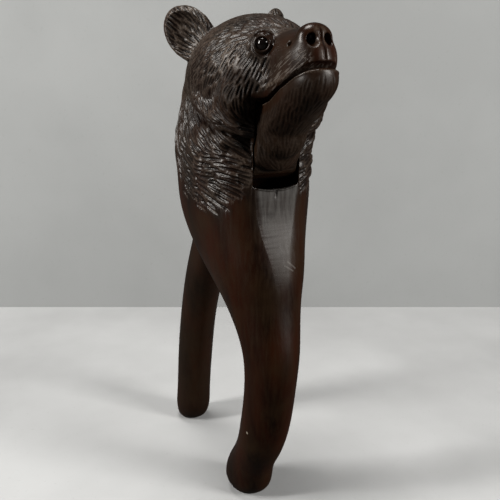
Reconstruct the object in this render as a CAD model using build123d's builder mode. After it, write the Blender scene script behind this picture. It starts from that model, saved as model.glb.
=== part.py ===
from build123d import *
import os

# Driving dimensions, in millimetres.
# The bear looks along -Y, +Z is up and X = 0 is the mid-plane.
# The origin is the centre of the flat under the front handle's foot.

# Front handle and neck, one carved trunk
lip_height = 139.5         # floor to the lip of the lever slot
neck_rise = 40.0           # lip of the slot to the top of the neck, inside the head
handle_width = 19.6
handle_depth = 24.8
handle_bow = 22.0          # how far the front handle bows forward of its foot
neck_width = 46.0
neck_depth = 64.0
foot_width = 11.0          # flat under the front foot
foot_depth = 11.0

# Head
skull_radius = 22.4
skull_length = 74.0        # brow to the back of the skull
skull_rise = 44.6          # lip of the slot to the skull's axis at the brow
skull_forward = 43.5       # brow in front of the front foot
skull_tilt = 8.0           # degrees that the skull looks up
cheek_radius = 12.9
cheek_spread = 9.4
cheek_rise = 23.2
cheek_forward = 15.0
nape_radius = 20.8
nape_rise = 30.0
nape_setback = 13.0
brow_radius = 7.0
brow_spread = 7.2
brow_rise = 49.4
brow_forward = 32.0
muzzle_radius = 9.3
muzzle_length = 58.0       # front of the muzzle in front of the front foot
muzzle_rise = 46.6
muzzle_tilt = 3.0
nose_width = 12.6
nose_length = 8.8
nose_height = 9.4
nose_lift = 5.8            # nose over the muzzle's axis
nose_setback = 7.4         # middle of the nose behind the front of the muzzle
philtrum_width = 12.8      # front of the muzzle between the nose and the lip
philtrum_length = 9.8
philtrum_height = 11.2
philtrum_lift = 1.5
philtrum_setback = 7.6
jowl_radius = 9.4          # side of the cheek over the corner of the mouth
jowl_spread = 12.2
jowl_rise = 32.0
jowl_forward = 21.6
mouth_gap = 1.0            # between the lips at the corner of the mouth
mouth_front_gap = 2.3      # between the lips at the front

# Ears
ear_width = 19.0
ear_height = 25.0
ear_thickness = 9.0
ear_wall = 1.8
ear_turn = 50.0            # degrees that the ear's hollow looks outwards from straight ahead
ear_lean = 52.0            # degrees that the ear leans outwards
ear_spread = 18.0
ear_rise = 55.2
ear_setback = 12.6

# Slot and lever
slot_width = 18.6
side_clearance = 0.35
slot_back = 4.1            # where the slot's sloping floor turns down behind the front foot
pivot_rise = 6.5           # lip of the slot to the pin
pivot_forward = 5.0        # pin in front of the front foot
side_rise = 61.5           # lip of the slot to the crown, the measure of the side profiles
lip_radius = 9.6           # upper lip, a rounded form along the mouth
lip_length = 44.0
lip_rise = 45.6
lip_tilt = 19.0
lip_setback = 0.4          # front of the upper lip behind the front of the muzzle
chin_radius = 9.9
chin_length = 44.0
chin_rise = 42.8
chin_tilt = 24.0
chin_lead = 0.6            # front of the chin ahead of the front of the muzzle
gullet_width = 17.2        # rounded underside of the throat
gullet_length = 12.0
gullet_height = 18.0
gullet_forward = 31.5
gullet_rise = 21.0
throat_width = 17.6        # rounded lower end of the throat
throat_length = 9.2
throat_height = 14.0
throat_forward = 27.0
throat_rise = 13.9
rear_reach = 72.0          # centre of the rear foot behind the front foot
rear_width = 17.4
rear_depth = 19.4
rear_foot_width = 9.6
rear_foot_depth = 9.6

# Pin, plugs and eyes
pin_radius = 2.0
pin_running_clearance = 0.05
plug_radius = 3.0
plug_length = 4.0
plug_reach = 23.6          # outer end of a plug from the mid-plane
nostril_radius = 1.3
nostril_spread = 2.7
nostril_depth = 3.4
eye_radius = 2.4
eye_wire_radius = 0.4
eye_wire_length = 6.0
eye_spread = 10.85
eye_rise = 50.75
eye_forward = 36.4
eye_turn = 40.0            # degrees that an eye looks outwards from straight ahead

overrun = 40.0             # how far a cutter runs past what it cuts

floor_share = 0.41          # level floor of the slot in front of the foot over the muzzle's length
slot_depth_share = 0.6     # low end of the slot over the lip's height
scoop_share = 0.6          # depth of the ear's hollow over the ear's thickness

# Level sections of the front handle: height over the lip's height, middle over the bow,
# blend to the neck's width and depth, fullness of the foot, squareness
handle_shares = [
    (0.000, 0.000, 0.00, 0.00, 0.00, 2.2),
    (0.012, -0.012, 0.00, 0.00, 0.74, 2.2),
    (0.035, -0.050, 0.00, 0.00, 0.93, 2.1),
    (0.088, -0.136, 0.00, 0.00, 0.98, 2.0),
    (0.180, -0.500, 0.00, 0.00, 0.93, 2.0),
    (0.272, -0.767, 0.00, 0.00, 0.97, 2.0),
    (0.430, -1.000, 0.00, 0.00, 1.00, 2.0),
    (0.538, -1.002, 0.09, 0.05, 1.00, 2.05),
    (0.610, -0.830, 0.21, 0.16, 1.00, 2.1),
    (0.681, -0.556, 0.38, 0.38, 1.00, 2.2),
    (0.753, -0.233, 0.59, 0.69, 1.00, 2.35),
    (0.839, 0.104, 0.80, 0.92, 1.00, 2.5),
    (0.932, 0.250, 0.95, 0.98, 1.00, 2.7),
]
# Level sections of the neck: rise over the neck's rise, middle over the bow, width, depth, squareness
neck_shares = [
    (0.14, 0.250, 1.02, 1.01, 2.7),
    (0.27, 0.268, 1.05, 1.03, 2.6),
    (0.45, 0.242, 1.02, 1.02, 2.5),
    (0.64, 0.173, 0.99, 1.00, 2.4),
    (0.84, 0.057, 0.90, 0.88, 2.3),
    (1.00, -0.059, 0.74, 0.68, 2.2),
]
# Profile of the skull along its axis from the brow back: place, radius
skull_shares = [
    (0.000, 0.00),
    (0.035, 0.26),
    (0.120, 0.56),
    (0.280, 0.86),
    (0.460, 1.00),
    (0.640, 0.99),
    (0.800, 0.88),
    (0.910, 0.68),
    (0.975, 0.40),
    (1.000, 0.00),
]
# Profile of the muzzle along its axis, to a flat end inside the skull
muzzle_shares = [
    (0.000, 0.00),
    (0.008, 0.268),
    (0.030, 0.52),
    (0.110, 0.86),
    (0.230, 1.00),
    (0.420, 1.16),
    (0.600, 1.24),
]
# Profiles of the upper lip and the chin along their axes from the front back
lip_form_shares = [
    (0.000, 0.00),
    (0.012, 0.245),
    (0.050, 0.50),
    (0.160, 0.80),
    (0.330, 0.98),
    (0.540, 1.10),
    (0.800, 1.12),
]
chin_form_shares = [
    (0.000, 0.00),
    (0.007, 0.214),
    (0.027, 0.42),
    (0.090, 0.68),
    (0.227, 0.84),
    (0.455, 1.02),
    (0.727, 1.28),
    (0.880, 1.36),
]
# Edge of the upper lip from the front to the corner of the mouth: forward over the muzzle's length, rise
lip_shares = [
    (1.05, 0.758),
    (0.97, 0.730),
    (0.90, 0.690),
    (0.82, 0.645),
    (0.64, 0.555),
    (0.47, 0.512),
]
# Ceiling of the slot behind the mouth, setback and rise
ceiling_shares = [
    (-0.17, 0.450),
    (0.17, 0.382),
    (0.46, 0.285),
    (0.80, 0.215),
]
# Lever behind the throat: upper edge and lower edge, setback and rise
lever_top_shares = [
    (-0.50, 0.490),
    (-0.31, 0.425),
    (-0.10, 0.342),
    (0.10, 0.268),
    (0.28, 0.165),
    (0.46, 0.010),
    (0.62, -0.190),
    (0.66, -0.360),
]
lever_bottom_shares = [
    (0.54, -0.600),
    (0.24, -0.400),
    (0.00, -0.190),
    (-0.21, 0.025),
    (-0.36, 0.062),
    (-0.415, 0.094),
    (-0.50, 0.250),
]
# Level sections of the rear handle: height, reach, width, depth, squareness
rear_shares = [
    (0.000, 1.000, 0.00, 0.00, 2.2),
    (0.010, 0.992, 0.76, 0.74, 2.2),
    (0.035, 0.975, 0.92, 0.91, 2.1),
    (0.110, 0.947, 0.98, 0.99, 2.0),
    (0.270, 0.896, 0.98, 1.00, 2.0),
    (0.460, 0.803, 0.98, 1.03, 2.0),
    (0.640, 0.645, 1.00, 1.12, 2.3),
    (0.760, 0.485, 1.00, 1.26, 2.9),
    (0.850, 0.350, 1.00, 1.46, 3.6),
    (0.920, 0.225, 1.00, 1.54, 4.2),
]


def quarter_pull(squareness):
    """Length of a quarter curve's handles over its half width, an ellipse at squareness 2."""
    return (8 * 0.5 ** (1 / squareness) - 4) / 3


def oval(width, depth, squareness):
    """A closed oval of four quarter curves."""
    x, y = width / 2, depth / 2
    pull = quarter_pull(squareness)
    for a, b in ((1, 1), (-1, -1)):
        Bezier((a * x, 0), (a * x, b * pull * y), (a * pull * x, b * y), (0, b * y))
        Bezier((0, b * y), (-a * pull * x, b * y), (-a * x, b * pull * y), (-a * x, 0))


def level(y, z):
    """Plane of a level section of a handle or the neck."""
    return Plane(origin=(0, y, z), x_dir=(1, 0, 0), z_dir=(0, 0, 1))


# Front handle and neck
with BuildPart() as trunk:
    for height, middle, wide, deep, full, square in handle_shares:
        width = (handle_width * (1 - wide) + neck_width * wide) * full
        depth = (handle_depth * (1 - deep) + neck_depth * deep) * full
        with BuildSketch(level(handle_bow * middle, lip_height * height)):
            with BuildLine():
                oval(max(width, foot_width), max(depth, foot_depth), square)
            make_face()
    for rise, middle, wide, deep, square in neck_shares:
        with BuildSketch(level(handle_bow * middle, lip_height + neck_rise * rise)):
            with BuildLine():
                oval(neck_width * wide, neck_depth * deep, square)
            make_face()
    loft()

# Skull
with BuildPart() as skull:
    with BuildSketch(Plane.YZ):
        with BuildLine():
            points = [(skull_length * place, skull_radius * wide) for place, wide in skull_shares]
            Spline(*points)
            Line(points[-1], points[0])
        make_face()
    revolve(axis=Axis.Y)
skull_place = Location((0, -skull_forward, lip_height + skull_rise), (-skull_tilt, 0, 0))

with BuildPart() as muzzle:
    with BuildSketch(Plane.YZ):
        with BuildLine():
            points = [(muzzle_length * place, muzzle_radius * wide) for place, wide in muzzle_shares]
            Spline(*points)
            Polyline(points[-1], (points[-1][0], 0), points[0])
        make_face()
    revolve(axis=Axis.Y)
muzzle_place = Location((0, -muzzle_length, lip_height + muzzle_rise), (-muzzle_tilt, 0, 0))


with BuildPart() as lip_form:
    with BuildSketch(Plane.YZ):
        with BuildLine():
            points = [(lip_length * place, lip_radius * wide) for place, wide in lip_form_shares]
            Spline(*points)
            Polyline(points[-1], (points[-1][0], 0), points[0])
        make_face()
    revolve(axis=Axis.Y)
lip_place = Location((0, lip_setback - muzzle_length, lip_height + lip_rise), (-lip_tilt, 0, 0))

with BuildPart() as chin_form:
    with BuildSketch(Plane.YZ):
        with BuildLine():
            points = [(chin_length * place, chin_radius * wide) for place, wide in chin_form_shares]
            Spline(*points)
            Polyline(points[-1], (points[-1][0], 0), points[0])
        make_face()
    revolve(axis=Axis.Y)
chin_place = Location((0, -muzzle_length - chin_lead, lip_height + chin_rise), (-chin_tilt, 0, 0))

upper_lip = [(-muzzle_length * f, lip_height + side_rise * r) for f, r in lip_shares]
lower_lip = []
for i, (y, z) in enumerate(upper_lip):
    share = i / (len(upper_lip) - 1)
    lower_lip.append((y, z - mouth_front_gap * (1 - share) - mouth_gap * share))
ceiling = [(muzzle_length * s, lip_height + side_rise * r) for s, r in ceiling_shares]
lever_top = [(muzzle_length * s, lip_height + side_rise * r) for s, r in lever_top_shares]
lever_bottom = [(muzzle_length * s, lip_height + side_rise * r) for s, r in lever_bottom_shares]
lip_front = -muzzle_length * lip_shares[-1][0]
front_end = upper_lip[0][0] - overrun
back_end = neck_depth + overrun
floor_front = -muzzle_length * floor_share
floor_back = slot_back
slot_low = lip_height * slot_depth_share
floor_low = lip_height - (floor_back - floor_front)

with BuildPart() as scoop:
    Sphere(1)
    scale(by=(ear_width / 2 - ear_wall, ear_thickness * scoop_share, ear_height / 2 - ear_wall))
with BuildPart() as ear:
    Sphere(1)
    scale(by=(ear_width / 2, ear_thickness / 2, ear_height / 2))
    with Locations((0, -ear_thickness / 2, 0)):
        add(scoop.part, mode=Mode.SUBTRACT)
ear_places = []
for side in (-1, 1):
    spot = Location((side * ear_spread, ear_setback, lip_height + ear_rise))
    turn = Location((0, 0, 0), (0, 0, side * ear_turn))
    lean = Location((0, 0, 0), (0, side * ear_lean, 0))
    ear_places.append(spot * turn * lean)



def ellipsoid(width, length, height):
    """A rounded form of these three diameters."""
    with BuildPart() as form:
        Sphere(1)
        scale(by=(width / 2, length / 2, height / 2))
    return form.part


nose = ellipsoid(nose_width, nose_length, nose_height)
philtrum = ellipsoid(philtrum_width, philtrum_length, philtrum_height)
gullet = ellipsoid(gullet_width, gullet_length, gullet_height)
throat_end = ellipsoid(throat_width, throat_length, throat_height)

nose_place = Location((0, nose_setback - muzzle_length, lip_height + muzzle_rise + nose_lift))
nostril_places = []
for side in (-1, 1):
    nostril_places.append(nose_place * Location((side * nostril_spread, -nose_length / 2, 0), (90, 0, 0)))

pivot_height = lip_height + pivot_rise
half_slot = slot_width / 2
lever_width = slot_width - 2 * side_clearance
half_neck = plug_reach
pin_length = 2 * (half_neck - plug_length)
pin_place = Location((0, -pivot_forward, pivot_height), (0, 90, 0))
eye_places = []
for side in (-1, 1):
    spot = Location((side * eye_spread, -eye_forward, lip_height + eye_rise))
    turn = Location((0, 0, 0), (0, 0, side * eye_turn))
    eye_places.append(spot * turn)

# Head and front handle
with BuildPart() as head_and_front_handle:
    with Locations(skull_place):
        add(skull.part)
    with Locations(muzzle_place):
        add(muzzle.part)
    with Locations(lip_place):
        add(lip_form.part)
    for side in (-1, 1):
        with Locations((side * brow_spread, -brow_forward, lip_height + brow_rise)):
            Sphere(brow_radius)
        with Locations((side * cheek_spread, -cheek_forward, lip_height + cheek_rise)):
            Sphere(cheek_radius)
    with Locations((0, nape_setback, lip_height + nape_rise)):
        Sphere(nape_radius)
    for side in (-1, 1):
        with Locations((side * jowl_spread, -jowl_forward, lip_height + jowl_rise)):
            Sphere(jowl_radius)
    with Locations((0, philtrum_setback - muzzle_length, lip_height + muzzle_rise + philtrum_lift)):
        add(philtrum)
    with Locations(nose_place):
        add(nose)
    with BuildSketch(Plane.YZ):
        with BuildLine():
            Polyline(
                (front_end, upper_lip[0][1]), *upper_lip,
                (lip_front, lip_height), (front_end, lip_height),
                close=True,
            )
        make_face()
    extrude(amount=overrun, both=True, mode=Mode.SUBTRACT)
    add(trunk.part)
    with Locations(*ear_places):
        add(ear.part)
    with BuildSketch(Plane.YZ):
        with BuildLine():
            Polyline(
                (front_end, lip_height), (floor_front, lip_height), (floor_back, floor_low),
                (floor_back, slot_low), (back_end, slot_low), (back_end, ceiling[-1][1]),
                *reversed(ceiling), *reversed(upper_lip), (front_end, upper_lip[0][1]),
                close=True,
            )
        make_face()
    extrude(amount=half_slot, both=True, mode=Mode.SUBTRACT)
    with Locations(pin_place):
        Cylinder(pin_radius, pin_length, mode=Mode.SUBTRACT)
    for side in (-1, 1):
        with Locations(pin_place * Location((0, 0, side * (half_neck + plug_length)))):
            Cylinder(plug_radius, 4 * plug_length, mode=Mode.SUBTRACT)
    for place in eye_places:
        with Locations(place):
            Sphere(eye_radius, mode=Mode.SUBTRACT)
        with Locations(place * Location((0, eye_wire_length / 2, 0), (90, 0, 0))):
            Cylinder(eye_wire_radius, eye_wire_length, mode=Mode.SUBTRACT)
    with Locations(*nostril_places):
        Cylinder(nostril_radius, 2 * nostril_depth, mode=Mode.SUBTRACT)

# Rear handle, throat and chin
with BuildPart() as rear_handle:
    for height, reach, wide, deep, square in rear_shares:
        width = max(rear_width * wide, rear_foot_width)
        depth = max(rear_depth * deep, rear_foot_depth)
        with BuildSketch(level(rear_reach * reach, lip_height * height)):
            with BuildLine():
                oval(width, depth, square)
            make_face()
    loft()

with BuildPart() as throat:
    with BuildSketch(Plane.YZ):
        with BuildLine():
            Polyline(*lever_top, *lever_bottom, close=True)
        make_face()
    extrude(amount=lever_width / 2, both=True)

with BuildPart() as jaw_and_rear_handle:
    with Locations(chin_place):
        add(chin_form.part)
    with BuildSketch(Plane.YZ):
        with BuildLine():
            Polyline(
                (front_end, lower_lip[0][1]), *lower_lip,
                *lever_top[:3], (lever_top[2][0], pivot_height),
                (lever_bottom[-3][0], lip_height), (front_end, lip_height),
                close=True,
            )
        make_face()
    extrude(amount=lever_width / 2, both=True, mode=Mode.INTERSECT)
    add(throat.part)
    with Locations((0, -gullet_forward, lip_height + gullet_rise)):
        add(gullet)
    with Locations((0, -throat_forward, lip_height + throat_rise)):
        add(throat_end)
    add(rear_handle.part)
    with Locations(pin_place):
        Cylinder(pin_radius + pin_running_clearance, slot_width, mode=Mode.SUBTRACT)

with BuildPart() as pivot_pin:
    with Locations(pin_place):
        Cylinder(pin_radius, pin_length)

plugs = []
wires = []
eyes = []
for side, place in zip((-1, 1), eye_places):
    with BuildPart() as plug:
        with Locations(pin_place * Location((0, 0, side * (half_neck - plug_length / 2)))):
            Cylinder(plug_radius, plug_length)
    plugs.append(plug)
    with BuildPart() as eye:
        with Locations(place):
            Sphere(eye_radius)
    eyes.append(eye)
    with BuildPart() as wire:
        with Locations(place * Location((0, eye_radius + (eye_wire_length - eye_radius) / 2, 0), (90, 0, 0))):
            Cylinder(eye_wire_radius, eye_wire_length - eye_radius)
    wires.append(wire)

os.makedirs("parts", exist_ok=True)
named = {
    "head_and_front_handle": head_and_front_handle,
    "jaw_and_rear_handle": jaw_and_rear_handle,
    "pivot_pin": pivot_pin,
    "pin_plug_right": plugs[0],
    "pin_plug_left": plugs[1],
    "eye_right": eyes[0],
    "eye_left": eyes[1],
    "eye_wire_right": wires[0],
    "eye_wire_left": wires[1],
}
for name, built in named.items():
    built.part.label = name
    export_step(built.part, f"parts/{name}.step")
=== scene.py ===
import bpy
import math
import random
import numpy as np
from mathutils import Matrix, Vector
from mathutils.kdtree import KDTree
from types import SimpleNamespace


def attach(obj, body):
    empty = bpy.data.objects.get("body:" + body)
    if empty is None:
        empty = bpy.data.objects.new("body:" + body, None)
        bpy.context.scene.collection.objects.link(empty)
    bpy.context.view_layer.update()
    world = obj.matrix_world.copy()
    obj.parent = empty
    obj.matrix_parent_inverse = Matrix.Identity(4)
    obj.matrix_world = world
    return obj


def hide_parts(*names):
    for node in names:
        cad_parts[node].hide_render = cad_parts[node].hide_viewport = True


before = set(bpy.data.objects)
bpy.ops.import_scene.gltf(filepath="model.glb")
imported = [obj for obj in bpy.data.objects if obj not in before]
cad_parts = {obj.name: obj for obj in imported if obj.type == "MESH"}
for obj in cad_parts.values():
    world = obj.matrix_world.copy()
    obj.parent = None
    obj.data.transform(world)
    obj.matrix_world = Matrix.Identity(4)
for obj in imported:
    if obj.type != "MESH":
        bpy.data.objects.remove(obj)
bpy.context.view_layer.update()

# The carving is laid out in millimetres. The bear looks along -Y, and X = 0 is the mid-plane.
MM = 0.001
VOXEL = 0.27     # fineness of the clay before it is carved
MOST_TRIANGLES = 190000
SEED = 11
HEAD_SEED, JAW_SEED, LOCK_SEED, DEPTH_SEED = SEED + 1, SEED + 2, 5, 3
NECK_CUT = 163.3        # height where the head's mesh is parted from the neck's
POINTS_AT_ONCE = 20000

SLOT_HALF = 9.3
LEVER_HALF = 8.95
EYE = (10.85, -36.4, 190.25)
EYE_TURN = math.radians(40)
NOSE = (0, -50.4, 191.7)
NOSE_HALF = (5.7, 4.2, 4.4)
EAR = (18.0, 12.6, 194.7)
EAR_TURN = math.radians(50)
EAR_LEAN = math.radians(52)
PIN = (0, -5, 146)
PLUG_RADIUS = 3.0
PLUG_END = 22.0

# Height of the roof over the mouth and the slot, from the front of the muzzle to the back of the neck
ROOF_Y = [-61, -56.3, -52.2, -47.6, -37.1, -27.3, -9.9, 9.9, 26.7, 46.4]
ROOF_Z = [186.1, 184.4, 181.9, 179.2, 173.6, 171.0, 167.1, 163, 157, 152.7]
# Lower end of the fur round the neck
HEM_Y = [-26, -22, -17, -8, 3, 10, 25, 40]
HEM_Z = [138.5, 135, 131.5, 131.5, 134, 137, 141, 143]

# Lower edge of the cheek, from the nape to the slot, and the hollow under it
CHEEK_EDGE = [
    (-20.5, 12, 178), (-22.3, 2, 173), (-22.0, -7, 168.5), (-21.6, -13.9, 166.6),
    (-19.8, -22.4, 164.0), (-15.5, -26.3, 162.5), (-9.8, -27.3, 161.6),
]
HOLLOW = [
    (-21.0, 14, 174), (-22.6, 3, 168.5), (-22.4, -6, 164.0), (-21.8, -14, 162.0),
    (-19.5, -22.0, 159.8), (-15.0, -25.5, 158.0), (-9.8, -26.8, 156.5),
]

# Patch of whiskers on the side of the muzzle, and the small hole over it
WHISKERS = [(-6.4, -54.4, 185.4), (-8.2, -50.2, 184.4), (-9.2, -46.0, 182.0), (-10.2, -40.0, 178.0)]
SNOUT_HOLE = (-7.5, -48.0, 190.2)

# Rolled edge of the upper lip, painted pale along it as a painted highlight
LIP_EDGE = [
    (-10.7, -35.5, 176.0), (-9.6, -42.6, 178.3), (-8.6, -47.6, 179.7), (-6.8, -51.5, 181.5),
    (-5.0, -54.5, 183.4), (-1.6, -56.0, 184.3), (0, -56.2, 184.4),
]

# Nostrils, the groove between them, and the crease round an eye's lids
NOSTRIL = (2.85, -55.0, 191.2)
NOSTRIL_HALF = (1.95, 4.4, 2.5)
NOSTRIL_DEPTH = 3.2
GROOVE_DEPTH = 0.75
LID_RADIUS, LID_THICKNESS = 2.4, 0.52
CREASE_RADIUS, CREASE_DEPTH = 3.6, 0.55

# Heights of the planed front of the handle and of the lip under the slot
PLANED_FROM, PLANED_TO = 94, 139.3
PLANED_DEPTH = 0.95
SLOT_LIP_FROM, SLOT_LIP_TO = 137.5, 141.0

# Locks round the neck and the fine strokes over them: pitch, length and depth
LOCK_PITCH, LOCK_LENGTH = 5.2, 16.0
LOCK_RISE, LOCK_SINK = 1.45, 0.75
STROKE_PITCH, STROKE_LENGTH, STROKE_DEPTH = 1.06, 7.5, 0.54
SHORTEST_STROKE = 3.2
JAW_PITCH, JAW_LENGTH, JAW_DEPTH = 1.15, 9.0, 0.17
LONE_PITCH = 1.2

# Single strokes that run out over the smooth handle
LONE_STROKES = [
    [(-22.6, 9.7, 136.8), (-22.6, 3.3, 133.9)],
    [(-22.5, 2.2, 133.7), (-21.5, -7.9, 132.0)],
    [(-22.2, -1.2, 131.5), (-21.0, -9.7, 129.9)],
    [(-21.3, -9.4, 132.6), (-18.8, -16.2, 129.9)],
    [(-19.0, -16.7, 134.1), (-16.2, -20.5, 132.0)],
    [(-22.6, 13.0, 134.6), (-22.5, 6.0, 131.6)],
]

# The cheek below the eye is painted bright, a painted highlight; the lower cheek is dull
CHEEK_HIGHLIGHT = (-17.6, -24.4, 186.0)
DULL_CHEEK = (-17.6, -27.5, 173.0)

# Lie of the fur on the right half of the bear, each line combed from its first point to its last
COMB_HEAD = [
    [(-3.7, -35.0, 195.6), (-6.7, -26.9, 196.9), (-10.7, -17.7, 197.9), (-12.4, -5.8, 197.7)],
    [(-9.8, -11.5, 199.2), (-13.2, -7.5, 197.3), (-15.7, -0.2, 194.4)],
    [
        (-0.5, -33.0, 196.0), (-0.5, -20.0, 200.0), (-0.5, -5.0, 201.5),
        (-0.5, 12.0, 200.5), (-0.5, 25.0, 191.0),
    ],
    [
        (-11.6, -27.9, 193.2), (-14.7, -22.4, 193.0), (-17.4, -17.5, 191.5),
        (-20.4, -11.7, 187.9), (-22.2, -5.2, 183.1),
    ],
    [(-13.9, -27.3, 191.0), (-16.9, -24.9, 187.8), (-18.8, -23.2, 183.9), (-20.1, -20.8, 179.2)],
    [(-13.8, -34.1, 187.7), (-15.4, -30.5, 183.2), (-16.9, -28.0, 178.7), (-17.3, -24.7, 173.6)],
    [(-11.5, -36.9, 186.4), (-12.6, -34.7, 181.3), (-13.4, -32.5, 176.1), (-11.7, -27.3, 170.9)],
    [(-18.2, -24.3, 175.9), (-17.6, -22.6, 171.8), (-17.1, -24.0, 167.8), (-16.0, -25.9, 164.5)],
    [(-15.7, -28.7, 175.4), (-14.5, -26.9, 170.6), (-13.3, -26.6, 166.5)],
    [
        (-21.4, -13.0, 184.5), (-22.4, -7.8, 181.0), (-22.5, -2.6, 176.7),
        (-21.7, -1.3, 172.3), (-21.9, -6.8, 168.3),
    ],
    [
        (-20.6, -18.6, 181.8), (-21.6, -14.3, 177.0), (-21.1, -10.9, 172.0),
        (-21.1, -15.4, 168.1), (-19.8, -22.4, 164.4),
    ],
    [(-22.1, -8.1, 183.1), (-22.2, 2.2, 179.5), (-21.7, 6.3, 175.0)],
    [(-21.6, -13.9, 166.6), (-19.8, -22.4, 164.0), (-15.5, -26.3, 162.5), (-9.8, -27.3, 161.6)],
    [(-9.7, -39.2, 186.4), (-10.2, -37.3, 183.3), (-11.1, -36.2, 179.4), (-11.9, -34.0, 175.5)],
    [(-20.2, 17.5, 171.5), (-22.4, 17.0, 165.0), (-22.9, 15.7, 157.6)],
    [(-22.0, 5.6, 170.5), (-22.8, 4.0, 165.4), (-23.0, 0.4, 161.2), (-22.8, -6.3, 157.4)],
    [(-22.5, -3.9, 164.5), (-22.0, -8.6, 160.5), (-20.9, -13.6, 156.6)],
    [(-21.9, -18.1, 162.0), (-20.1, -21.0, 158.7), (-17.1, -22.9, 156.0)],
    [(-21.4, -19.7, 162.1), (-17.6, -24.3, 159.3), (-12.7, -26.1, 157.1), (-9.3, -25.5, 154.4)],
    [(-24.0, 10.5, 152.7), (-24.0, 6.4, 148.5), (-23.4, -0.9, 145.6), (-22.2, -10.2, 144.5)],
    [(-22.4, -11.0, 149.1), (-19.6, -17.6, 149.4), (-15.4, -22.6, 148.7), (-9.8, -25.7, 147.4)],
    [(-22.6, -7.2, 143.4), (-19.9, -16.4, 144.2), (-15.9, -21.8, 143.3), (-10.3, -25.1, 141.2)],
    [(-22.7, 9.5, 136.9), (-22.6, 3.2, 133.9), (-22.2, -4.5, 132.5)],
    [(-21.8, -10.1, 140.0), (-19.7, -15.7, 138.1), (-16.3, -20.7, 136.1)],
    [(-17.7, -19.5, 140.5), (-14.1, -23.0, 138.6), (-10.9, -24.5, 136.0)],
    [(-19.8, -14.8, 133.9), (-17.2, -19.1, 131.8)],
    [(-7.2, -52.7, 187.5), (-8.4, -50.4, 185.1), (-8.8, -46.7, 183.3)],
    [(-6.7, -53.9, 184.5), (-8.4, -49.2, 181.5), (-9.5, -43.1, 178.9), (-10.5, -35.0, 174.9)],
    [(-8.6, -44.7, 188.8), (-9.4, -43.5, 185.2), (-9.7, -39.2, 180.8)],
    [(-21.2, 9.7, 176.3), (-20.5, 15.4, 171.6)],
    [(-1.0, -44.0, 195.5), (-1.0, -37.0, 195.8)],
    [(-10.0, 24.0, 188.0), (-12.0, 30.0, 178.0), (-13.0, 33.0, 168.0)],
    [(-14.0, 34.0, 165.0), (-14.0, 35.5, 155.0), (-12.0, 36.0, 146.0)],
    [(-20.0, 28.0, 160.0), (-21.5, 27.0, 150.0), (-20.0, 26.0, 141.0)],
    [(-0.5, 30.0, 184.0), (-0.5, 34.5, 172.0), (-0.5, 37.0, 160.0)],
]
COMB_JAW = [
    [(-6.2, -46.8, 169.6), (-4.5, -42.9, 164.7), (-2.5, -33.9, 159.6)],
    [(-7.9, -34.5, 162.9), (-6.2, -35.2, 158.7), (-3.0, -28.3, 153.5)],
    [(-8.2, -28.9, 154.8), (-5.3, -27.3, 151.5), (-1.0, -26.1, 149.3)],
    [(-8.3, -25.0, 147.0), (-0.4, -24.5, 146.2)],
    [(-7.5, -52.0, 177.0), (-6.5, -49.0, 172.0), (-6.0, -45.0, 168.0)],
    [(-8.7, -44.0, 175.0), (-8.7, -41.0, 169.0), (-8.7, -36.0, 163.0)],
]


def ramp(x, start, end):
    """0 before start, 1 after end, smooth between."""
    t = np.clip((x - start) / (end - start), 0, 1)
    return t * t * (3 - 2 * t)


def only(obj):
    bpy.ops.object.select_all(action="DESELECT")
    obj.select_set(True)
    bpy.context.view_layer.objects.active = obj


def use_modifier(obj, kind, **values):
    only(obj)
    modifier = obj.modifiers.new(kind.lower(), kind)
    for key, value in values.items():
        setattr(modifier, key, value)
    bpy.ops.object.modifier_apply(modifier=modifier.name)


def clay_copy(node, name):
    """A copy of a CAD node's mesh in one skin."""
    only(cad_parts[node])
    bpy.ops.object.duplicate()
    clay = bpy.context.view_layer.objects.active
    clay.parent = None
    clay.name = clay.data.name = name
    for key in list(clay.keys()):
        if key.startswith("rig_"):
            del clay[key]
    bpy.ops.object.mode_set(mode="EDIT")
    bpy.ops.mesh.select_all(action="SELECT")
    bpy.ops.mesh.remove_doubles(threshold=1e-6)
    bpy.ops.object.mode_set(mode="OBJECT")
    return clay


def add_to(clay, lumps):
    """Joins lumps of clay to a piece before it is remeshed."""
    bpy.ops.object.select_all(action="DESELECT")
    for lump in lumps:
        lump.select_set(True)
    clay.select_set(True)
    bpy.context.view_layer.objects.active = clay
    bpy.ops.object.join()


def lump(centre, half):
    """An ellipsoid of clay."""
    bpy.ops.mesh.primitive_uv_sphere_add(segments=32, ring_count=20, radius=MM, location=Vector(centre) * MM)
    made = bpy.context.active_object
    made.scale = half
    bpy.ops.object.transform_apply(location=False, rotation=False, scale=True)
    return made


def ring(centre, radius, thickness, turn, stretch):
    """A ring of clay for an eye's lids."""
    bpy.ops.mesh.primitive_torus_add(
        major_segments=40, minor_segments=14, major_radius=radius * MM, minor_radius=thickness * MM,
        location=Vector(centre) * MM, rotation=turn,
    )
    made = bpy.context.active_object
    made.scale = stretch
    bpy.ops.object.transform_apply(location=False, rotation=False, scale=True)
    return made


def points_of(obj):
    flat = np.empty(len(obj.data.vertices) * 3, np.float32)
    obj.data.vertices.foreach_get("co", flat)
    return flat.reshape(-1, 3).astype(float) / MM


def normals_of(obj):
    flat = np.empty(len(obj.data.vertices) * 3, np.float32)
    obj.data.vertex_normals.foreach_get("vector", flat)
    return flat.reshape(-1, 3).astype(float)


def put_points(obj, points):
    obj.data.vertices.foreach_set("co", (points * MM).astype(np.float32).ravel())
    obj.data.update()


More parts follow.
